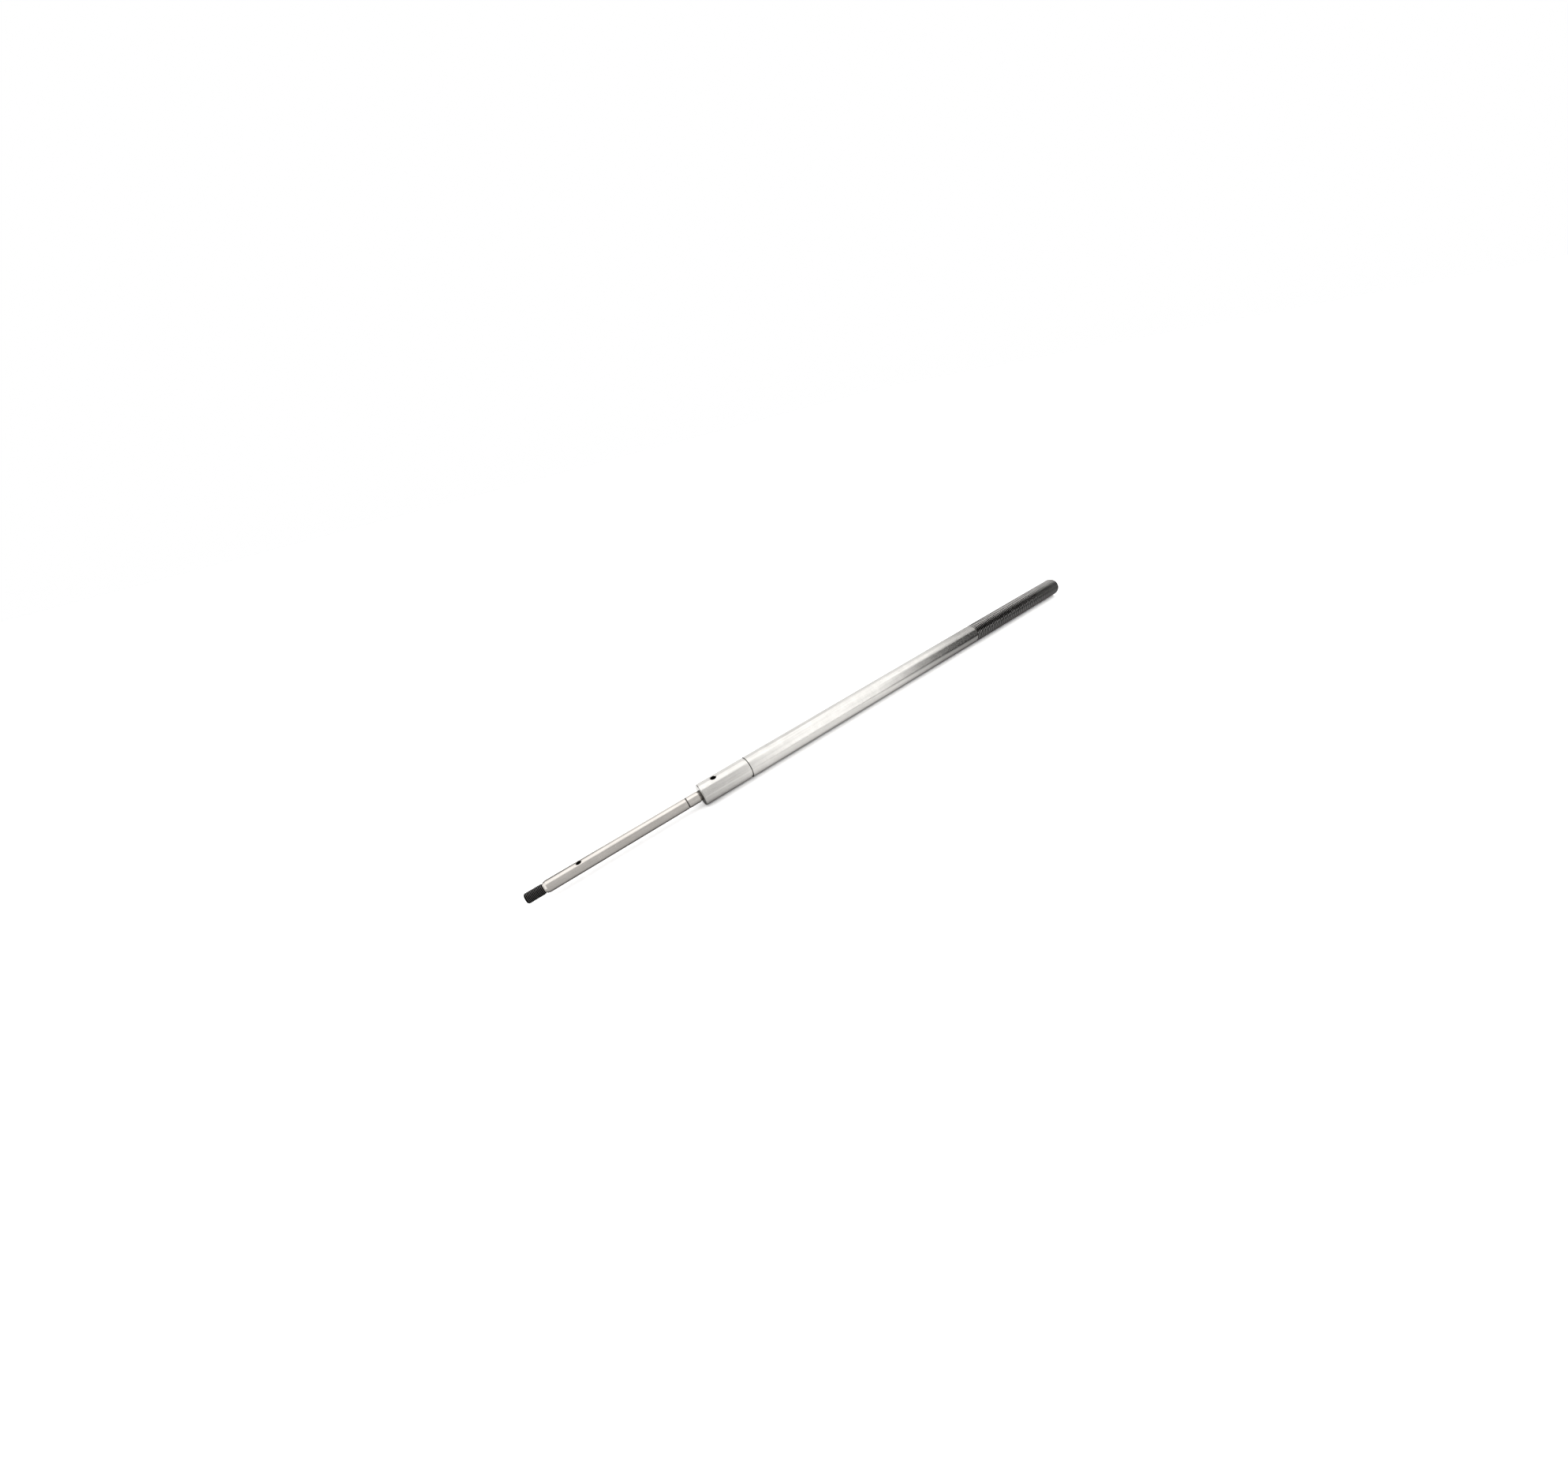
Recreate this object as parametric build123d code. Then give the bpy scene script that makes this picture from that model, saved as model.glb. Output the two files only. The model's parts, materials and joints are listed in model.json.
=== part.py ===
from build123d import *
import os
from math import radians, sqrt, tan

# Lead screw: one turned and cross-drilled steel shaft, lying on its side along X. Millimetres, +Z up.
# The origin is on the surface that the shaft lies on, under the middle of its length. From -X to +X it
# has a small threaded stub for a nut, a slim seat with a cross pin hole and a clip groove, a journal,
# the shoulder of the full-diameter shaft with its own cross hole and ring groove, the long plain
# stretch, and the large fine thread at the far end. Threads are plain at their crest diameter here.

# ---- Driving dimensions ----
stub_thread_diameter = 8.9  # over the crests of the M9 x 1 thread
stub_length = 14.2
stub_end_chamfer = 1.0
stub_relief_width = 1.1  # run-out groove between the thread and the seat
stub_relief_depth = 0.7  # below the crests

seat_diameter = 10.0
seat_length = 119.0  # from the stub's shoulder to the clip groove
seat_lead_length = 1.8  # taper that leads a hub onto the seat
seat_lead_height = 0.6

pin_hole_diameter = 4.0
pin_hole_from_stub = 27.5  # from the stub's shoulder to the hole's centre line

clip_groove_width = 1.1
clip_groove_depth = 0.4  # below the seat

journal_diameter = 10.0
journal_length = 12.5  # from the clip groove to the shoulder, relief included

relief_width = 2.4  # grinding relief at the foot of the shoulder
relief_depth = 0.6  # below the journal
relief_corner_radius = 0.7  # more than the depth, so a bearing on the journal meets only the flat face
relief_run_out_angle = 30.0  # slope from the relief's floor up to the journal, degrees

shaft_diameter = 20.0
shaft_length = 349.5  # full-diameter plain stretch, from the shoulder to the large thread
shoulder_chamfer = 0.6

cross_hole_diameter = 5.0
cross_hole_from_shoulder = 15.2

ring_groove_from_shoulder = 45.4  # from the shoulder to the groove's near wall
ring_groove_width = 2.4
ring_groove_depth = 0.8

shaft_end_chamfer = 0.5  # both sides of the V where the large thread runs out
end_thread_diameter = 19.8  # over the crests of the M20 x 2.5 thread
end_thread_length = 154.0
end_thread_chamfer = 2.0

hole_edge_break = 0.2  # bevel round the mouths of the cross holes

# Centre holes that the lathe's centres ran in, one in each end face
centre_angle = 60.0  # included angle of the mouth, degrees
drill_point_angle = 118.0  # included angle of the bottom, degrees
stub_centre_mouth_diameter = 3.35
stub_centre_pilot_diameter = 1.6
stub_centre_depth = 4.2
end_centre_mouth_diameter = 6.7
end_centre_pilot_diameter = 3.15
end_centre_depth = 8.0

# ---- Stations along the shaft, from the tip of the stub ----
seat_start = stub_length
stub_relief_start = seat_start - stub_relief_width
clip_groove_start = seat_start + seat_length
clip_groove_end = clip_groove_start + clip_groove_width
shoulder = clip_groove_end + journal_length
relief_start = shoulder - relief_width
ring_groove_start = shoulder + ring_groove_from_shoulder
ring_groove_end = ring_groove_start + ring_groove_width
shaft_end = shoulder + shaft_length
tip = shaft_end + end_thread_length

pin_hole = seat_start + pin_hole_from_stub
cross_hole = shoulder + cross_hole_from_shoulder

# ---- Radii ----
stub_radius = stub_thread_diameter / 2
stub_relief_radius = stub_radius - stub_relief_depth
seat_radius = seat_diameter / 2
clip_floor_radius = seat_radius - clip_groove_depth
journal_radius = journal_diameter / 2
relief_radius = journal_radius - relief_depth
shaft_radius = shaft_diameter / 2
ring_floor_radius = shaft_radius - ring_groove_depth
end_thread_radius = end_thread_diameter / 2
run_out_radius = shaft_radius - shaft_end_chamfer
widest_radius = max(shaft_radius, end_thread_radius, seat_radius, stub_radius)


def turned_outline():
    """Half section of the shaft above its axis, with X along the axis and Y as the radius."""
    run_out_length = relief_depth / tan(radians(relief_run_out_angle))
    relief_floor_start = (relief_start + run_out_length, relief_radius)
    relief_floor_end = (shoulder, relief_radius)
    outline = Polyline(
        (0, 0),
        (0, stub_radius - stub_end_chamfer),
        (stub_end_chamfer, stub_radius),
        (stub_relief_start, stub_radius),
        (stub_relief_start, stub_relief_radius),
        (seat_start, stub_relief_radius),
        (seat_start, seat_radius - seat_lead_height),
        (seat_start + seat_lead_length, seat_radius),
        (clip_groove_start, seat_radius),
        (clip_groove_start, clip_floor_radius),
        (clip_groove_end, clip_floor_radius),
        (clip_groove_end, journal_radius),
        (relief_start, journal_radius),
        relief_floor_start,
        relief_floor_end,
        (shoulder, shaft_radius - shoulder_chamfer),
        (shoulder + shoulder_chamfer, shaft_radius),
        (ring_groove_start, shaft_radius),
        (ring_groove_start, ring_floor_radius),
        (ring_groove_end, ring_floor_radius),
        (ring_groove_end, shaft_radius),
        (shaft_end - shaft_end_chamfer, shaft_radius),
        (shaft_end, run_out_radius),
        (shaft_end + end_thread_radius - run_out_radius, end_thread_radius),
        (tip - end_thread_chamfer, end_thread_radius),
        (tip, end_thread_radius - end_thread_chamfer),
        (tip, 0),
        close=True,
    )
    half_section = make_face(outline)
    relief_floor = (relief_floor_start, relief_floor_end)
    corners = [half_section.vertices().sort_by_distance(end)[0] for end in relief_floor]
    return fillet(corners, relief_corner_radius)


def centre_hole(mouth_diameter, pilot_diameter, depth):
    """Tool body of a centre drill that enters at the origin and points along +X."""
    cone_length = (mouth_diameter - pilot_diameter) / 2 / tan(radians(centre_angle / 2))
    point_length = pilot_diameter / 2 / tan(radians(drill_point_angle / 2))
    outline = Polyline(
        (0, 0),
        (0, mouth_diameter / 2),
        (cone_length, pilot_diameter / 2),
        (depth - point_length, pilot_diameter / 2),
        (depth, 0),
        close=True,
    )
    return revolve(make_face(outline), Axis.X)


def drilled_across(station, diameter, local_radius):
    """Tool body of a hole drilled through the axis along Z, with a bevel at both of its mouths."""
    reach = 2 * local_radius
    # The edge of the hole dips lowest at its two sides, where the round of the shaft falls away.
    edge_height = sqrt(local_radius**2 - (diameter / 2) ** 2)
    upright = (Align.CENTER, Align.CENTER, Align.MIN)
    bevel = Cone(diameter / 2, diameter / 2 + reach, reach, align=upright)
    upper_bevel = Pos(0, 0, edge_height - hole_edge_break) * bevel
    hole = Cylinder(diameter / 2, 2 * reach) + upper_bevel + upper_bevel.mirror(Plane.XY)
    return Pos(station, 0, 0) * hole


def lead_screw():
    """The whole shaft, laid with its widest part on the XY plane."""
    shaft = revolve(turned_outline(), Axis.X)
    shaft -= centre_hole(stub_centre_mouth_diameter, stub_centre_pilot_diameter, stub_centre_depth)
    end_centre = centre_hole(end_centre_mouth_diameter, end_centre_pilot_diameter, end_centre_depth)
    shaft -= Pos(tip, 0, 0) * end_centre.mirror(Plane.YZ)
    shaft -= drilled_across(pin_hole, pin_hole_diameter, seat_radius)
    shaft -= drilled_across(cross_hole, cross_hole_diameter, shaft_radius)
    return Pos(-tip / 2, 0, widest_radius) * shaft


os.makedirs("parts", exist_ok=True)
export_step(lead_screw(), "parts/lead_screw.step")
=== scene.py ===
"""Lead screw: a turned and ground steel shaft with cut threads, in a white studio.

Everything is in metres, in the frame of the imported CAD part: the shaft lies along X on the
floor at z = 0, threaded stub towards -X and large thread towards +X.
"""

import json
import math

import bmesh
import bpy
from bpy.props import FloatProperty, FloatVectorProperty, IntProperty, PointerProperty
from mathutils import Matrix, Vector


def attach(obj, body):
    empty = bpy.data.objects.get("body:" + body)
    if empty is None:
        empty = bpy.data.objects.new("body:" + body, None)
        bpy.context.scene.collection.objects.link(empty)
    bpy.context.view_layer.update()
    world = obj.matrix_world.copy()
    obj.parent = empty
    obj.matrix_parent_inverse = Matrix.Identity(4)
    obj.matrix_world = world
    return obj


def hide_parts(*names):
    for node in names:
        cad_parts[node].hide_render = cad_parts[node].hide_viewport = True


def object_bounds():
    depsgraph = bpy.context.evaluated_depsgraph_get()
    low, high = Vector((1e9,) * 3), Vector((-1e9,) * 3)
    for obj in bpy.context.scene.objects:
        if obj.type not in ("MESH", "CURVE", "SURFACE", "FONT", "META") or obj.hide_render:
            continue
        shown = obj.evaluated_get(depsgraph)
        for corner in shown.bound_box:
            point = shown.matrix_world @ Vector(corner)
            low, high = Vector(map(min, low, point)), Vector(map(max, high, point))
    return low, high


bl_info = {
    "name": "Lead Screw",
    "version": (1, 0, 0),
    "blender": (4, 5, 0),
    "location": "3D View > Sidebar > Lead Screw",
    "description": "Builds a turned steel lead screw with cut threads, and a white studio around it",
    "category": "Object",
}

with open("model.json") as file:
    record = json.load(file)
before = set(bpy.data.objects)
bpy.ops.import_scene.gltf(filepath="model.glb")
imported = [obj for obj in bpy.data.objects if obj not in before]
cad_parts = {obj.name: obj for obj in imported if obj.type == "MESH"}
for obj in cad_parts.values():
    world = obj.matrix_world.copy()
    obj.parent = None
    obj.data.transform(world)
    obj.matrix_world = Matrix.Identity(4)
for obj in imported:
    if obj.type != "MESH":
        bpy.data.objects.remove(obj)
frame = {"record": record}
cad_low, cad_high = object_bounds()
mounts = {mount["name"]: mount for mount in frame["record"]["mounts"]}


def stretch(name):
    """Start, end and radius of a round mount, in metres."""
    place, sizes = mounts[name]["pos_m"], mounts[name]["dims"]
    half = sizes["length_mm"] / 2000
    return place[0] - half, place[0] + half, sizes["r_mm"] / 1000


AXIS_HEIGHT = mounts["shaft"]["pos_m"][2]
STUB_TIP, END_TIP = cad_low.x, cad_high.x
STUB_CHAMFER_END, STUB_RELIEF_START, STUB_CREST = stretch("stub_thread")
SEAT_START, CLIP_GROOVE_START, SEAT_RADIUS = stretch("seat")
CLIP_GROOVE_END, RELIEF_START, JOURNAL_RADIUS = stretch("journal")
SHOULDER = mounts["shoulder_face"]["pos_m"][0]
RING_GROOVE_END, SHAFT_CHAMFER_START, SHAFT_RADIUS = stretch("shaft")
END_CREST_START, END_CHAMFER_START, END_CREST = stretch("end_thread")
PIN_HOLE, CROSS_HOLE = mounts["pin_hole"]["pos_m"][0], mounts["cross_hole"]["pos_m"][0]
PIN_HOLE_RADIUS = mounts["pin_hole"]["dims"]["r_mm"] / 1000
CROSS_HOLE_RADIUS = mounts["cross_hole"]["dims"]["r_mm"] / 1000

MERGE = 4e-6  # two points nearer than this are one
HOLD = 0.00025  # a ring this far from a corner keeps the long faces' shading straight
FLUSH = 0.00002  # a face this near a station lies on it
MARGIN = 0.00005  # slack when a face is sorted by its centre
# Dirt and painted shade: a dark line this wide runs along the ring groove's far wall.
FAR_WALL_DIRT_AND_SHADE = 0.00055  # width of the dark line along the ring groove's far wall
# The large thread's material, with painted shade in its roots, starts here.
DARK_THREAD_START = END_CREST_START + 0.0002
SHARP_ANGLE = math.radians(28)  # edges that turn more than this stay crisp
FLOOR_EXPOSURE = 1.6  # the camera sees the floor this bright, so that it comes out white
CARD_DISTANCE = 5
CARD_FACETS = 8

# Slots of the shaft's materials
GROUND, TURNED, THREADED, BLACKENED, SHADED_HOLE, DIRTY_SHADED_GROOVE = range(6)


# ---- What a user may change -------------------------------------------------------------------


def length(name, description, default):
    return FloatProperty(
        name=name, description=description, default=default, min=0, precision=5, unit="LENGTH"
    )


def share(name, description, default):
    return FloatProperty(
        name=name, description=description, default=default, min=0, max=1, subtype="FACTOR"
    )


def colour(name, description, default):
    return FloatVectorProperty(
        name=name, description=description, default=default, min=0, max=1, subtype="COLOR"
    )


class LeadScrewSizes(bpy.types.PropertyGroup):
    end_pitch: length("End thread pitch", "Advance of the large thread in one turn", 0.0025)
    end_depth: length("End thread depth", "From the large thread's crest to its root", 0.00150)
    end_run_out: length("End thread run-out", "Length over which the large thread fades in", 0.0040)
    stub_pitch: length("Stub thread pitch", "Advance of the stub's thread in one turn", 0.001)
    stub_depth: length("Stub thread depth", "From the stub thread's crest to its root", 0.00061)
    stub_relief_width: length(
        "Stub relief width", "Groove between the stub's thread and the seat", 0.0011
    )
    stub_relief_depth: length("Stub relief depth", "Depth of that groove below the crests", 0.0007)
    seat_lead_height: length("Seat lead height", "How far the taper at the seat's end drops", 0.0006)
    clip_groove_depth: length("Clip groove depth", "Depth of the fine groove before the journal", 0.0004)
    relief_depth: length("Relief depth", "Depth of the grinding relief at the shoulder", 0.0006)
    relief_run_out: length("Relief run-out", "Length of the slope from relief to journal", 0.00104)
    relief_corner: length("Relief corner", "Rounding where the relief meets the shoulder", 0.0005)
    shoulder_chamfer: length("Shoulder chamfer", "Chamfer round the shoulder's rim", 0.0006)
    ring_groove_width: length("Ring groove width", "Width of the groove on the thick shaft", 0.0024)
    ring_groove_depth: length("Ring groove depth", "Depth of the groove on the thick shaft", 0.0008)
    stub_centre_mouth: length("Stub centre mouth", "Radius of the centre hole in the stub", 0.001675)
    stub_centre_pilot: length("Stub centre pilot", "Radius of that hole's straight part", 0.0008)
    stub_centre_depth: length("Stub centre depth", "Depth of that hole to its point", 0.0042)
    end_centre_mouth: length("End centre mouth", "Radius of the centre hole in the far end", 0.00335)
    end_centre_pilot: length("End centre pilot", "Radius of that hole's straight part", 0.001575)
    end_centre_depth: length("End centre depth", "Depth of that hole to its point", 0.008)
    hole_bevel: length("Hole bevel", "Bevel round the mouths of the cross holes", 0.0002)
    edge_softening: length("Edge softening", "Radius that a deburred edge has", 0.00008)
    steps: IntProperty(
        name="Steps", description="Flats that make one turn of the shaft", default=128, min=32, max=160
    )


class LeadScrewFinish(bpy.types.PropertyGroup):
    steel: colour("Bare steel", "Colour of the ground and turned steel", (0.62, 0.605, 0.58))
    seat_steel: colour("Seat steel", "Colour of the turned seat", (0.60, 0.568, 0.532))
    thread_steel: colour("Thread steel", "Colour of the large thread's crests", (0.72, 0.705, 0.685))
    # Painted shade: the large thread's roots are coloured near black for the shade that falls in them.
    thread_root_shade: colour(
        "Thread root", "Colour of the oiled dirt in the large thread", (0.008, 0.007, 0.007)
    )
    black_steel: colour("Blackened steel", "Colour of the stub's crests", (0.26, 0.25, 0.245))
    # Painted shade: the stub thread's roots are coloured near black for the shade that falls in them.
    black_root_shade: colour("Blackened root", "Colour in the stub thread's root", (0.003, 0.003, 0.003))
    # Dirt and painted shade: the grooves and the relief are coloured dark for the dirt and the shade in
    # them.
    groove_dirt_and_shade: colour("Groove", "Colour of the oiled dirt in the turned grooves", (0.12, 0.112, 0.105))
    # Painted shade: the cross holes' walls are coloured near black for the shade inside them.
    drilled: colour("Drilled wall", "Colour of the walls of the cross holes", (0.05, 0.048, 0.045))
    shaft_roughness: share("Shaft roughness", "Roughness of the ground shaft", 0.21)
    seat_roughness: share("Seat roughness", "Roughness of the turned seat", 0.23)
    thread_roughness: share("Thread roughness", "Roughness of the thread's crests", 0.20)
    black_roughness: share("Black roughness", "Roughness of the blackened stub", 0.34)
    dull_roughness: share("Dull roughness", "Roughness of drilled walls and grooves", 0.5)
    ring_spacing: length("Ring spacing", "Distance between two lathe rings", 0.00035)
    ring_height: length("Ring height", "Height of a lathe ring", 0.0000035)


class LeadScrewStudio(bpy.types.PropertyGroup):
    camera_place: FloatVectorProperty(
        name="Camera place", description="Where the camera stands", default=(-0.2425, -0.3039, 0.2686),
        subtype="TRANSLATION", unit="LENGTH",
    )
    camera_turn: FloatVectorProperty(
        name="Camera turn", description="How the camera is turned",
        default=(math.radians(53.758), math.radians(11.017), math.radians(-35.082)), subtype="EULER",
    )
    camera_lens: FloatProperty(
        name="Lens", description="Focal length for a 36 mm sensor", default=10.684, min=1, unit="CAMERA"
    )
    floor_size: length("Floor size", "Side of the square floor", 12.0)
    world_light: share("World light", "How brightly the white world lights the shaft", 0.72)


# ---- Mesh helpers -----------------------------------------------------------------------------


def lathe(bm, outline, steps):
    """Turns a chain of (x, radius) points once about the shaft's axis."""
    chain = [bm.verts.new((x, 0, AXIS_HEIGHT + radius)) for x, radius in outline]
    edges = [bm.edges.new(pair) for pair in zip(chain, chain[1:])]
    bmesh.ops.spin(
        bm, geom=chain + edges, cent=(0, 0, AXIS_HEIGHT), axis=(1, 0, 0), dvec=(0, 0, 0),
        angle=math.tau, steps=steps, use_merge=True, use_duplicate=False,
    )


def soften_rings(bm, radius):
    """Rounds every corner that runs right round the shaft."""
    rings = [
        edge for edge in bm.edges
        if len(edge.link_faces) == 2
        and abs(edge.verts[0].co.x - edge.verts[1].co.x) < MERGE
        and edge.calc_face_angle() > math.radians(20)
    ]
    bmesh.ops.bevel(
        bm, geom=rings, offset=radius, offset_type="OFFSET", segments=2, profile=0.5,
        affect="EDGES", clamp_overlap=True, material=-1,
    )


def distance_from_axis(point):
    return math.hypot(point.y, point.z - AXIS_HEIGHT)


def held_between(value, stations):
    """Value of a broken line of (x, radius) points at x."""
    if value <= stations[0][0]:
        return stations[0][1]
    for (x0, r0), (x1, r1) in zip(stations, stations[1:]):
        if value <= x1:
            return r0 + (r1 - r0) * (value - x0) / (x1 - x0)
    return stations[-1][1]


def cut_thread(bm, start, end, pitch, crest, depth, lowest, highest, steps):
    """Adds a right-hand V thread between two planes, open at both ends.

    lowest and highest are broken lines of (x, radius): the thread is kept between them, for its
    run-out and its chamfer. At both planes they meet, so that the thread ends in a true circle.
    """
    root = crest - depth
    flat = pitch / 16
    flank = flat + (depth * 0.92) * math.tan(math.radians(30))
    halfway = flank * 0.45 + flat * 0.55
    ridge = [
        (-pitch / 2, root), (-flank, root + depth * 0.08),
        (-halfway, root + depth * 0.60), (-flat, crest),
        (flat, crest), (halfway, root + depth * 0.60),
        (flank, root + depth * 0.08), (pitch / 2, root),
    ]
    turns = bmesh.new()
    x0 = start - 1.5 * pitch
    chain = [turns.verts.new((x0 + x, 0, AXIS_HEIGHT + radius)) for x, radius in ridge]
    edges = [turns.edges.new(pair) for pair in zip(chain, chain[1:])]
    bmesh.ops.spin(
        turns, geom=chain + edges, cent=(0, 0, AXIS_HEIGHT), axis=(1, 0, 0),
        dvec=(pitch / steps, 0, 0), angle=math.tau, steps=steps, use_merge=False, use_duplicate=False,
    )
    one_turn = turns.verts[:] + turns.edges[:] + turns.faces[:]
    for number in range(1, math.ceil((end - start) / pitch) + 3):
        copy = bmesh.ops.duplicate(turns, geom=one_turn)["geom"]
        verts = [item for item in copy if isinstance(item, bmesh.types.BMVert)]
        bmesh.ops.translate(turns, verts=verts, vec=(number * pitch, 0, 0))
    bmesh.ops.remove_doubles(turns, verts=turns.verts, dist=MERGE)
    for station, inwards in ((start, 1), (end, -1)):
        bmesh.ops.bisect_plane(
            turns, geom=turns.verts[:] + turns.edges[:] + turns.faces[:], dist=1e-7,
            plane_co=(station, 0, 0), plane_no=(inwards, 0, 0), clear_inner=True,
        )
    for vert in turns.verts:
        radius = distance_from_axis(vert.co)
        kept = max(held_between(vert.co.x, lowest), min(radius, held_between(vert.co.x, highest)))
        vert.co.y *= kept / radius
        vert.co.z = AXIS_HEIGHT + (vert.co.z - AXIS_HEIGHT) * kept / radius
    step = math.tau / steps
    for edge in turns.edges:
        if edge.is_boundary:
            for vert in edge.verts:
                radius = held_between(vert.co.x, lowest)
                turn = round(math.atan2(vert.co.y, vert.co.z - AXIS_HEIGHT) / step) * step
                vert.co = (
                    start if vert.co.x < (start + end) / 2 else end,
                    radius * math.sin(turn),
                    AXIS_HEIGHT + radius * math.cos(turn),
                )
    bmesh.ops.remove_doubles(turns, verts=turns.verts, dist=MERGE)
    loose = bpy.data.meshes.new("loose_turns")
    turns.to_mesh(loose)
    turns.free()
    bm.from_mesh(loose)
    bpy.data.meshes.remove(loose)


def drill(station, radius, wall_radius, bevel):
    """A closed tool body for a hole through the axis along Z, flared at both mouths."""
    rim = math.sqrt(wall_radius**2 - radius**2) - bevel
    reach = wall_radius
    bm = bmesh.new()
    outline = ((0, -rim - reach), (radius + reach, -rim - reach), (radius, -rim),
               (radius, rim), (radius + reach, rim + reach), (0, rim + reach))
    chain = [bm.verts.new((station + out, 0, AXIS_HEIGHT + up)) for out, up in outline]
    edges = [bm.edges.new(pair) for pair in zip(chain, chain[1:])]
    bmesh.ops.spin(
        bm, geom=chain + edges, cent=(station, 0, AXIS_HEIGHT), axis=(0, 0, 1), dvec=(0, 0, 0),
        angle=math.tau, steps=48, use_merge=True, use_duplicate=False,
    )
    bmesh.ops.remove_doubles(bm, verts=bm.verts, dist=MERGE)
    bmesh.ops.recalc_face_normals(bm, faces=bm.faces)
    return new_object("drill", bm)


def new_object(name, bm):
    mesh = bpy.data.meshes.new(name)
    bm.to_mesh(mesh)
    bm.free()
    made = bpy.data.objects.new(name, mesh)
    bpy.context.scene.collection.objects.link(made)
    return made


def cut_away(piece, tool):
    """Takes the tool's body out of the piece, and the tool out of the scene."""
    cut = piece.modifiers.new("cut", "BOOLEAN")
    cut.operation, cut.solver, cut.object = "DIFFERENCE", "MANIFOLD", tool
    evaluated = piece.evaluated_get(bpy.context.evaluated_depsgraph_get())
    result = bpy.data.meshes.new_from_object(evaluated)
    piece.modifiers.clear()
    old, piece.data = piece.data, result
    bpy.data.meshes.remove(old)
    bpy.data.objects.remove(tool)


# ---- Shader helpers ---------------------------------------------------------------------------


def link(tree, source, target):
    tree.links.new(source, target)


def maths(tree, operation, first, second=None, third=None):
    node = tree.nodes.new("ShaderNodeMath")
    node.operation = operation
    for socket, value in zip(node.inputs, (first, second, third)):
        if isinstance(value, bpy.types.NodeSocket):
            link(tree, value, socket)
        elif value is not None:
            socket.default_value = value
    return node.outputs[0]


def mixed(tree, amount, first, second):
    """Colour between two colours."""
    node = tree.nodes.new("ShaderNodeMix")
    node.data_type = "RGBA"
    for socket, value in zip((node.inputs[0], node.inputs[6], node.inputs[7]), (amount, first, second)):
        if isinstance(value, bpy.types.NodeSocket):
            link(tree, value, socket)
        elif isinstance(value, (int, float)):
            socket.default_value = value
        else:
            socket.default_value = (*value, 1)
    return node.outputs[2]


def ranged(tree, value, from_low, from_high, to_low, to_high, smooth=False):
    node = tree.nodes.new("ShaderNodeMapRange")
    node.interpolation_type = "SMOOTHSTEP" if smooth else "LINEAR"
    link(tree, value, node.inputs["Value"])
    ends = {"From Min": from_low, "From Max": from_high, "To Min": to_low, "To Max": to_high}
    for name, number in ends.items():
        if isinstance(number, bpy.types.NodeSocket):
            link(tree, number, node.inputs[name])
        else:
            node.inputs[name].default_value = number
    return node.outputs["Result"]


def noise(tree, place, scale, detail, dimensions="3D"):
    node = tree.nodes.new("ShaderNodeTexNoise")
    node.noise_dimensions = dimensions
    link(tree, place, node.inputs["W" if dimensions == "1D" else "Vector"])
    if isinstance(scale, bpy.types.NodeSocket):
        link(tree, scale, node.inputs["Scale"])
    else:
        node.inputs["Scale"].default_value = scale
    node.inputs["Detail"].default_value = detail
    return node.outputs["Fac"]


def group(name, inputs, outputs):
    tree = bpy.data.node_groups.new(name, "ShaderNodeTree")
    for socket, value in inputs:
        made = tree.interface.new_socket(name=socket, in_out="INPUT", socket_type="NodeSocketFloat")
        made.default_value = value
    for socket in outputs:
        tree.interface.new_socket(name=socket, in_out="OUTPUT", socket_type="NodeSocketFloat")
    return tree, tree.nodes.new("NodeGroupInput"), tree.nodes.new("NodeGroupOutput")


def stretched(tree, place, scale):
    """Coordinates with a scale for each axis, so that a pattern runs round or along the shaft."""
    node = tree.nodes.new("ShaderNodeMapping")
    node.inputs["Scale"].default_value = scale
    link(tree, place, node.inputs["Vector"])
    return node.outputs[0]


def lathe_finish_group():
    """Height of the lathe rings, and masks for handling marks, scuffs and streaks.

    The scuffs run round the shaft and the streaks along it.
    """
    tree, given, out = group(
        "lathe_finish", (("Rings per metre", 2800.0), ("Marks per metre", 90.0)),
        ("Rings", "Marks", "Scuffs", "Streaks"),
    )
    place = tree.nodes.new("ShaderNodeTexCoord").outputs["Object"]
    parts = tree.nodes.new("ShaderNodeSeparateXYZ")
    link(tree, place, parts.inputs[0])
    for name, value in (
        ("Rings", noise(tree, parts.outputs["X"], given.outputs["Rings per metre"], 2.0, "1D")),
        ("Marks", noise(tree, place, given.outputs["Marks per metre"], 3.0)),
        ("Scuffs", noise(tree, stretched(tree, place, (900, 120, 120)), 1.0, 2.0)),
        ("Streaks", noise(tree, stretched(tree, place, (14, 420, 420)), 1.0, 3.0)),
    ):
        link(tree, value, out.inputs[name])
    return tree


def thread_depth_group():
    """0 at a thread's root and 1 at its crest."""
    tree, given, out = group("thread_depth", (("Root", 0.0084), ("Crest", 0.0099)), ("Crest mask",))
    place = tree.nodes.new("ShaderNodeTexCoord").outputs["Object"]
    parts = tree.nodes.new("ShaderNodeSeparateXYZ")
    link(tree, place, parts.inputs[0])
    up = maths(tree, "SUBTRACT", parts.outputs["Z"], AXIS_HEIGHT)
    across = maths(tree, "MULTIPLY", parts.outputs["Y"], parts.outputs["Y"])
    radius = maths(tree, "SQRT", maths(tree, "MULTIPLY_ADD", up, up, across))
    mask = ranged(tree, radius, given.outputs["Root"], given.outputs["Crest"], 0.0, 1.0, smooth=True)
    link(tree, mask, out.inputs["Crest mask"])
    return tree


def placed(tree, group_tree, values):
    node = tree.nodes.new("ShaderNodeGroup")
    node.node_tree = group_tree
    for name, value in values.items():
        node.inputs[name].default_value = value
    return node.outputs


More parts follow.
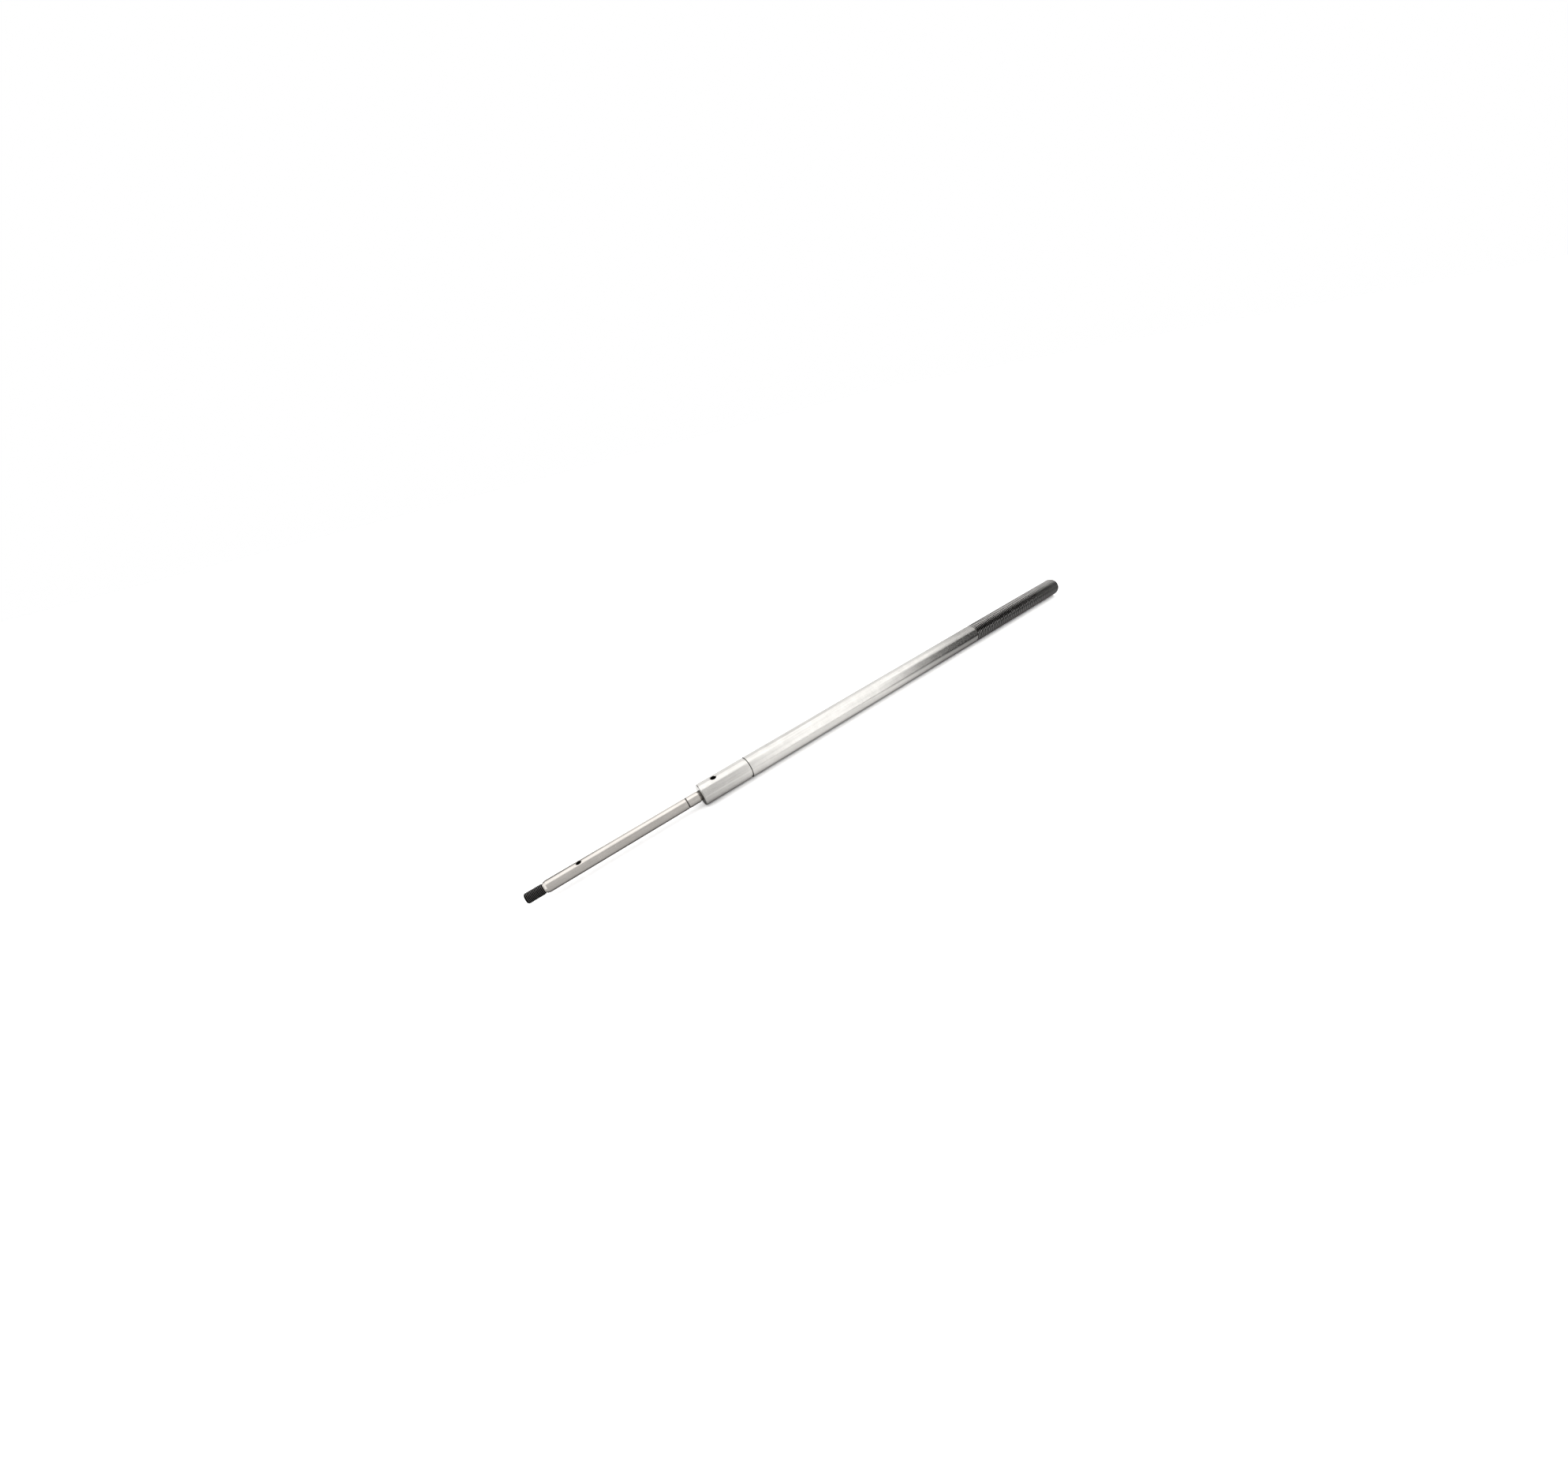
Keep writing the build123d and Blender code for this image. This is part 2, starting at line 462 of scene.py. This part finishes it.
def steel_material(name, finish_group, base, roughness, finish, root_shade_colour=None, depth_mask=None):
    """Bare or blackened steel, with painted shade in the roots where it is threaded.

    The root colour argument is the painted shade in the roots, and depth_mask the mask's group with
    its root and crest radii.
    """
    material = bpy.data.materials.new(name)
    material.use_nodes = True
    tree = material.node_tree
    surface = tree.nodes["Principled BSDF"]
    surface.inputs["Metallic"].default_value = 1.0
    worked = placed(tree, finish_group, {"Rings per metre": 1 / finish.ring_spacing})
    marks = ranged(tree, worked["Marks"], 0.3, 0.7, 0.0, 1.0)
    streaks = ranged(tree, worked["Streaks"], 0.3, 0.7, 0.0, 1.0)
    tone = maths(tree, "MULTIPLY_ADD", maths(tree, "SUBTRACT", streaks, marks), 0.6, marks)
    tinted = mixed(tree, tone, [0.86 * part for part in base], [1.08 * part for part in base])
    if depth_mask:
        depth_group, root, crest = depth_mask
        mask = placed(tree, depth_group, {"Root": root, "Crest": crest})
        # Painted shade in the thread roots: the root colour takes over where the crest mask is low.
        tinted = mixed(tree, mask["Crest mask"], root_shade_colour, tinted)
    link(tree, tinted, surface.inputs["Base Color"])
    rough = ranged(tree, worked["Scuffs"], 0.25, 0.75, roughness * 0.85, roughness * 1.2)
    link(tree, rough, surface.inputs["Roughness"])
    bump = tree.nodes.new("ShaderNodeBump")
    bump.inputs["Strength"].default_value = 1.0
    bump.inputs["Distance"].default_value = finish.ring_height
    link(tree, worked["Rings"], bump.inputs["Height"])
    link(tree, bump.outputs[0], surface.inputs["Normal"])
    return material


# ---- The piece --------------------------------------------------------------------------------


class LEADSCREW_OT_shaft(bpy.types.Operator):
    """Turn the whole shaft, cut both threads, drill the cross holes and give it its steel finish"""

    bl_idname = "lead_screw.shaft"
    bl_label = "Shaft"

    def execute(self, context):
        sizes, finish = context.scene.lead_screw_sizes, context.scene.lead_screw_finish
        shaft = self.turned(sizes)
        for station, radius, wall in (
            (PIN_HOLE, PIN_HOLE_RADIUS, SEAT_RADIUS), (CROSS_HOLE, CROSS_HOLE_RADIUS, SHAFT_RADIUS)
        ):
            cut_away(shaft, drill(station, radius, wall, sizes.hole_bevel))
        self.finished(shaft, sizes, finish)
        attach(shaft, "root")
        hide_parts("lead_screw")
        return {"FINISHED"}

    def turned(self, sizes):
        """The shaft with its grooves, centre holes and threads, as one closed mesh."""
        stub_root, end_root = STUB_CREST - sizes.stub_depth, END_CREST - sizes.end_depth
        stub_relief = STUB_CREST - sizes.stub_relief_depth
        stub_tip = STUB_CREST - (STUB_CHAMFER_END - STUB_TIP)
        seat_shoulder = STUB_RELIEF_START + sizes.stub_relief_width
        seat_lead = SEAT_RADIUS - sizes.seat_lead_height
        lead_slope = sizes.seat_lead_height / (SEAT_START - seat_shoulder)
        clip_floor = SEAT_RADIUS - sizes.clip_groove_depth
        relief = JOURNAL_RADIUS - sizes.relief_depth
        shoulder_rim = SHAFT_RADIUS - sizes.shoulder_chamfer
        shaft_start = SHOULDER + sizes.shoulder_chamfer
        ring_groove_start = RING_GROOVE_END - sizes.ring_groove_width
        ring_floor = SHAFT_RADIUS - sizes.ring_groove_depth
        run_out = SHAFT_CHAMFER_START + (END_CREST_START - SHAFT_CHAMFER_START) * 5 / 9
        run_out_radius = SHAFT_RADIUS - (run_out - SHAFT_CHAMFER_START)
        end_tip = END_CREST - (END_TIP - END_CHAMFER_START)
        near, far = 1.8 * PIN_HOLE_RADIUS, 1.8 * CROSS_HOLE_RADIUS  # rings either side of each hole
        bm = bmesh.new()
        stub_cap = self.centre_hole(
            STUB_TIP, 1, sizes.stub_centre_mouth, sizes.stub_centre_pilot, sizes.stub_centre_depth
        )
        lathe(bm, [*stub_cap, (STUB_TIP, stub_tip)], sizes.steps)
        body = [
            (STUB_RELIEF_START, stub_relief),
            (STUB_RELIEF_START + 0.5 * sizes.stub_relief_width, stub_relief),
            (seat_shoulder, stub_relief),
            (seat_shoulder, seat_lead),
            (seat_shoulder + HOLD, seat_lead + HOLD * lead_slope),
            (SEAT_START - HOLD, SEAT_RADIUS - HOLD * lead_slope),
            (SEAT_START, SEAT_RADIUS),
            (SEAT_START + 2 * HOLD, SEAT_RADIUS),
            (PIN_HOLE - near, SEAT_RADIUS),
            (PIN_HOLE + near, SEAT_RADIUS),
            (CLIP_GROOVE_START - HOLD, SEAT_RADIUS),
            (CLIP_GROOVE_START, SEAT_RADIUS),
            (CLIP_GROOVE_START, clip_floor),
            (CLIP_GROOVE_END, clip_floor),
            (CLIP_GROOVE_END, JOURNAL_RADIUS),
            (CLIP_GROOVE_END + HOLD, JOURNAL_RADIUS),
            (RELIEF_START - HOLD, JOURNAL_RADIUS),
            (RELIEF_START, JOURNAL_RADIUS),
            (RELIEF_START + sizes.relief_run_out, relief),
            (SHOULDER - 1.6 * sizes.relief_corner, relief),
            (SHOULDER - sizes.relief_corner, relief),
            (SHOULDER - 0.3 * sizes.relief_corner, relief + 0.3 * sizes.relief_corner),
            (SHOULDER, relief + sizes.relief_corner),
            (SHOULDER, JOURNAL_RADIUS + 2 * HOLD),
            (SHOULDER, shoulder_rim - HOLD),
            (SHOULDER, shoulder_rim),
            (shaft_start, SHAFT_RADIUS),
            (shaft_start + HOLD, SHAFT_RADIUS),
            (CROSS_HOLE - far, SHAFT_RADIUS),
            (CROSS_HOLE + far, SHAFT_RADIUS),
            (ring_groove_start - HOLD, SHAFT_RADIUS),
            (ring_groove_start, SHAFT_RADIUS),
            (ring_groove_start, ring_floor),
            (ring_groove_start + HOLD, ring_floor),
            (RING_GROOVE_END - FAR_WALL_DIRT_AND_SHADE, ring_floor),
            (RING_GROOVE_END, ring_floor),
            (RING_GROOVE_END, SHAFT_RADIUS),
            (RING_GROOVE_END + HOLD, SHAFT_RADIUS),
            (SHAFT_CHAMFER_START - HOLD, SHAFT_RADIUS),
            (SHAFT_CHAMFER_START, SHAFT_RADIUS),
            (run_out, run_out_radius),
        ]
        lathe(bm, body, sizes.steps)
        end_cap = self.centre_hole(
            END_TIP, -1, sizes.end_centre_mouth, sizes.end_centre_pilot, sizes.end_centre_depth
        )
        lathe(bm, [*end_cap, (END_TIP, end_tip)], sizes.steps)
        bmesh.ops.remove_doubles(bm, verts=bm.verts, dist=MERGE)
        soften_rings(bm, sizes.edge_softening)
        cut_thread(
            bm, STUB_TIP, STUB_RELIEF_START, sizes.stub_pitch, STUB_CREST, sizes.stub_depth,
            lowest=((STUB_TIP, stub_tip), (STUB_TIP + 0.0002, stub_root),
                    (STUB_RELIEF_START - 0.0002, stub_root), (STUB_RELIEF_START, stub_relief)),
            highest=((STUB_TIP, stub_tip), (STUB_CHAMFER_END, STUB_CREST),
                     (STUB_RELIEF_START - sizes.stub_depth / 2, STUB_CREST),
                     (STUB_RELIEF_START, stub_relief)),
            steps=sizes.steps,
        )
        cut_thread(
            bm, run_out, END_TIP, sizes.end_pitch, END_CREST, sizes.end_depth,
            lowest=((run_out, run_out_radius), (run_out + sizes.end_run_out, end_root),
                    (END_TIP - 0.0003, end_root), (END_TIP, end_tip)),
            highest=((run_out, run_out_radius), (END_CREST_START, END_CREST),
                     (END_CHAMFER_START, END_CREST), (END_TIP, end_tip)),
            steps=sizes.steps,
        )
        bmesh.ops.remove_doubles(bm, verts=bm.verts, dist=MERGE)
        bmesh.ops.recalc_face_normals(bm, faces=bm.faces)
        return new_object("shaft", bm)

    @staticmethod
    def centre_hole(face, inwards, mouth, pilot, depth):
        """Outline of a lathe centre's hole, from its point on the axis out to its mouth."""
        point = pilot / math.tan(math.radians(118 / 2))
        cone = (mouth - pilot) / math.tan(math.radians(60 / 2))
        return [
            (face + inwards * depth, 0),
            (face + inwards * (depth - point), pilot),
            (face + inwards * cone, pilot),
            (face, mouth),
        ]

    def finished(self, shaft, sizes, finish):
        """Materials by station along the shaft, smooth turned faces and crisp edges."""
        lathed, depths = lathe_finish_group(), thread_depth_group()
        # Masks that place the painted shade in the thread roots.
        end_root_shade_mask = (depths, END_CREST - 0.3 * sizes.end_depth, END_CREST - 0.02 * sizes.end_depth)
        stub_root_shade_mask = (depths, STUB_CREST - 0.5 * sizes.stub_depth, STUB_CREST)
        shaft.data.materials.clear()
        for name, base, roughness, *root in (
            ("ground_steel", finish.steel, finish.shaft_roughness),
            ("turned_steel", finish.seat_steel, finish.seat_roughness),
            (
                "thread_steel", finish.thread_steel, finish.thread_roughness,
                finish.thread_root_shade, end_root_shade_mask,
            ),
            (
                "blackened_steel", finish.black_steel, finish.black_roughness,
                finish.black_root_shade, stub_root_shade_mask,
            ),
            ("drilled_steel", finish.drilled, finish.dull_roughness),
            ("grooved_steel", finish.groove_dirt_and_shade, finish.dull_roughness),
        ):
            shaft.data.materials.append(steel_material(name, lathed, base, roughness, finish, *root))
        bm = bmesh.new()
        bm.from_mesh(shaft.data)
        bm.normal_update()
        for face in bm.faces:
            face.material_index = self.finish_of(face, sizes)
            face.smooth = True
        bm.to_mesh(shaft.data)
        bm.free()
        shaft.data.set_sharp_from_angle(angle=SHARP_ANGLE)

    @staticmethod
    def finish_of(face, sizes):
        """Slot of the material that a face has, by where it lies."""
        centre = face.calc_center_median()
        x, radius = centre.x, distance_from_axis(centre)
        # The cross holes' walls get painted shade.
        for hole, hole_radius in ((PIN_HOLE, PIN_HOLE_RADIUS), (CROSS_HOLE, CROSS_HOLE_RADIUS)):
            if math.hypot(x - hole, centre.y) < 1.01 * hole_radius:
                return SHADED_HOLE
        relief_floor = RELIEF_START + sizes.relief_run_out - MARGIN
        ring_groove_start = RING_GROOVE_END - sizes.ring_groove_width - MARGIN
        # The clip groove, the relief's floor, the ring groove's walls and a line along its far wall get
        # dirt and painted shade.
        if (
            CLIP_GROOVE_START < x < CLIP_GROOVE_END
            or relief_floor < x < SHOULDER - MARGIN and radius < JOURNAL_RADIUS - 2 * MARGIN
            or ring_groove_start < x < RING_GROOVE_END + MARGIN and abs(face.normal.x) > 0.7
            or RING_GROOVE_END - FAR_WALL_DIRT_AND_SHADE - MARGIN < x < RING_GROOVE_END
            and radius < SHAFT_RADIUS - 0.5 * sizes.ring_groove_depth
        ):
            return DIRTY_SHADED_GROOVE
        if x > END_TIP - FLUSH or x > END_CREST_START and radius < 0.5 * SHAFT_RADIUS:
            return TURNED
        if x > DARK_THREAD_START:
            return THREADED
        if x > SHOULDER - FLUSH:
            return GROUND
        if x > STUB_RELIEF_START + 0.5 * sizes.stub_relief_width:
            return TURNED
        return BLACKENED


# ---- The studio -------------------------------------------------------------------------------


class LEADSCREW_OT_studio(bpy.types.Operator):
    """Lay a pale floor under the shaft, light it softly and place the camera"""

    bl_idname = "lead_screw.studio"
    bl_label = "Studio"

    def execute(self, context):
        studio = context.scene.lead_screw_studio
        self.floor(studio)
        self.world(context.scene, studio.world_light)
        for name, along, around, brightness in (
            ("overhead_card", (-25, 44), (78, 132), 1.7),
            ("front_card", (15, 37.5), (-8, 78), 1.7),
            ("front_left_card", (-36, 15), (-8, 78), 0.72),
            ("rear_card", (-4, 44), (132, 188), 1.15),
            ("left_card", (-58, -36), (0, 100), 1.5),
            ("left_rear_card", (-62, -34), (100, 148), 1.6),
            ("rear_black_card", (-62, -7), (152, 190), 0),
            ("far_rear_card", (44, 88), (68, 190), 0.55),
            ("end_card", (-89, -82), (0, 180), 1.2),
            ("right_black_card", (39.6, 47), (-12, 66), 0),
            ("far_black_card", (47, 82), (-12, 68), 0),
            ("left_black_card", (-82, -58), (-6, 100), 0),
        ):
            self.card(name, along, around, brightness)
        data = bpy.data.cameras.new("camera")
        data.lens, data.sensor_width = studio.camera_lens, 36
        data.clip_start, data.clip_end = 0.01, 50
        camera = bpy.data.objects.new("camera", data)
        camera.location, camera.rotation_euler = studio.camera_place, studio.camera_turn
        context.scene.collection.objects.link(camera)
        context.scene.camera = camera
        context.scene.view_settings.view_transform = "Standard"
        return {"FINISHED"}

    @staticmethod
    def floor(studio):
        """A floor that is white to the camera, with painted light and painted shadow where it shows in
        the steel.
        """
        bm = bmesh.new()
        bmesh.ops.create_grid(bm, x_segments=1, y_segments=1, size=studio.floor_size / 2)
        floor = new_object("floor", bm)
        material = bpy.data.materials.new("pale_floor")
        material.use_nodes = True
        tree = material.node_tree
        tree.nodes.clear()
        out = tree.nodes.new("ShaderNodeOutputMaterial")
        seen = tree.nodes.new("ShaderNodeLightPath").outputs["Is Camera Ray"]
        parts = tree.nodes.new("ShaderNodeSeparateXYZ")
        link(tree, tree.nodes.new("ShaderNodeTexCoord").outputs["Object"], parts.inputs[0])
        x, y = parts.outputs["X"], parts.outputs["Y"]

        def fade(value, start, end, first, last):
            return ranged(tree, value, start, end, first, last, smooth=True)

        # Painted light and shade of the floor as the steel shows it. In front of the shaft a painted
        # pool of light is palest at the middle and fades towards both ends, more so at the large thread,
        # and well in front of that the floor is painted black. Under the shaft a painted shadow darkens
        # it. Behind the shaft a painted pool of light, half as pale at the thread.
        under = fade(y, -0.013, -0.005, 1.0, 0.3)
        middle = fade(maths(tree, "ABSOLUTE", maths(tree, "ADD", x, 0.03)), 0.07, 0.16, 1.0, 0.6)
        front = maths(tree, "MULTIPLY", middle, under)
        front = maths(tree, "MULTIPLY", front, fade(x, 0.08, 0.20, 1.0, 0.6))
        outside_painted_black = fade(y, -0.055, -0.03, 0.0, 1.0)
        outside_painted_black = maths(tree, "MAXIMUM", outside_painted_black, fade(x, 0.12, 0.22, 1.0, 0.0))
        behind = fade(y, 0.006, 0.016, 0.0, 1.0)
        behind = maths(tree, "MULTIPLY", behind, ranged(tree, x, 0.16, 0.24, 1.0, 0.5))
        # pale is the painted light and shade: 0 paints the floor black and 1 white.
        pale = maths(tree, "MAXIMUM", behind, maths(tree, "MULTIPLY", front, outside_painted_black))
        # This paper carries the painted light and shade for every ray but the camera's; the camera sees
        # the evenly exposed floor.
        painted_paper, exposed = (tree.nodes.new("ShaderNodeBsdfDiffuse") for _ in range(2))
        link(tree, mixed(tree, pale, (0, 0, 0), (1, 1, 1)), painted_paper.inputs["Color"])
        exposed.inputs["Color"].default_value = (*[FLOOR_EXPOSURE] * 3, 1)
        pick = tree.nodes.new("ShaderNodeMixShader")
        link(tree, seen, pick.inputs[0])
        link(tree, painted_paper.outputs[0], pick.inputs[1])
        link(tree, exposed.outputs[0], pick.inputs[2])
        link(tree, pick.outputs[0], out.inputs["Surface"])
        floor.data.materials.append(material)

    @staticmethod
    def world(scene, light):
        """A white world that shows at full strength and lights a little less."""
        scene.world = scene.world or bpy.data.worlds.new("studio")
        scene.world.use_nodes = True
        tree = scene.world.node_tree
        tree.nodes["Background"].inputs["Color"].default_value = (1, 1, 1, 1)
        rays = tree.nodes.new("ShaderNodeLightPath").outputs
        seen = maths(tree, "ADD", rays["Is Camera Ray"], rays["Is Glossy Ray"])
        seen = maths(tree, "ADD", seen, rays["Is Transmission Ray"])
        link(tree, ranged(tree, seen, 0, 1, light, 1), tree.nodes["Background"].inputs["Strength"])

    @staticmethod
    def card(name, along, around, brightness):
        """A curved card, glowing or black, that only lights and reflects.

        It reaches between two leans from the shaft's middle towards the large thread, and
        between two angles round the shaft from the front upwards, all in degrees.
        """
        bm = bmesh.new()
        swing = math.radians(around[0])
        arc = []
        for number in range(CARD_FACETS + 1):
            lean = math.radians(along[0] + (along[1] - along[0]) * number / CARD_FACETS)
            reach = CARD_DISTANCE * math.cos(lean)
            arc.append(bm.verts.new(
                (CARD_DISTANCE * math.sin(lean), -reach * math.cos(swing), reach * math.sin(swing))
            ))
        edges = [bm.edges.new(pair) for pair in zip(arc, arc[1:])]
        bmesh.ops.spin(
            bm, geom=arc + edges, cent=(0, 0, 0), axis=(-1, 0, 0), dvec=(0, 0, 0),
            angle=math.radians(around[1] - around[0]), steps=2 * CARD_FACETS,
            use_merge=False, use_duplicate=False,
        )
        card = new_object(name, bm)
        material = bpy.data.materials.new(name)
        material.use_nodes = True
        tree = material.node_tree
        tree.nodes.clear()
        glow = tree.nodes.new("ShaderNodeEmission")
        glow.inputs["Strength"].default_value = brightness
        link(tree, glow.outputs[0], tree.nodes.new("ShaderNodeOutputMaterial").inputs["Surface"])
        card.data.materials.append(material)
        card.visible_camera = card.visible_shadow = False
        card.visible_diffuse = brightness > 0


class LEADSCREW_PT_panel(bpy.types.Panel):
    """Sizes, finish and studio of the lead screw"""

    bl_idname = "LEADSCREW_PT_panel"
    bl_label = "Lead Screw"
    bl_space_type = "VIEW_3D"
    bl_region_type = "UI"
    bl_category = "Lead Screw"

    def draw(self, context):
        layout, scene = self.layout, context.scene
        for settings, operator in (
            (scene.lead_screw_sizes, None),
            (scene.lead_screw_finish, "lead_screw.shaft"),
            (scene.lead_screw_studio, "lead_screw.studio"),
        ):
            box = layout.box()
            for name in settings.__annotations__:
                box.prop(settings, name)
            if operator:
                box.operator(operator)


CLASSES = (
    LeadScrewSizes, LeadScrewFinish, LeadScrewStudio,
    LEADSCREW_OT_shaft, LEADSCREW_OT_studio, LEADSCREW_PT_panel,
)


def register():
    for made in CLASSES:
        bpy.utils.register_class(made)
    bpy.types.Scene.lead_screw_sizes = PointerProperty(type=LeadScrewSizes)
    bpy.types.Scene.lead_screw_finish = PointerProperty(type=LeadScrewFinish)
    bpy.types.Scene.lead_screw_studio = PointerProperty(type=LeadScrewStudio)


def unregister():
    del bpy.types.Scene.lead_screw_sizes
    del bpy.types.Scene.lead_screw_finish
    del bpy.types.Scene.lead_screw_studio
    for made in reversed(CLASSES):
        bpy.utils.unregister_class(made)


def main():
    register()
    bpy.ops.lead_screw.shaft()
    bpy.ops.lead_screw.studio()


if __name__ == "__main__":
    main()
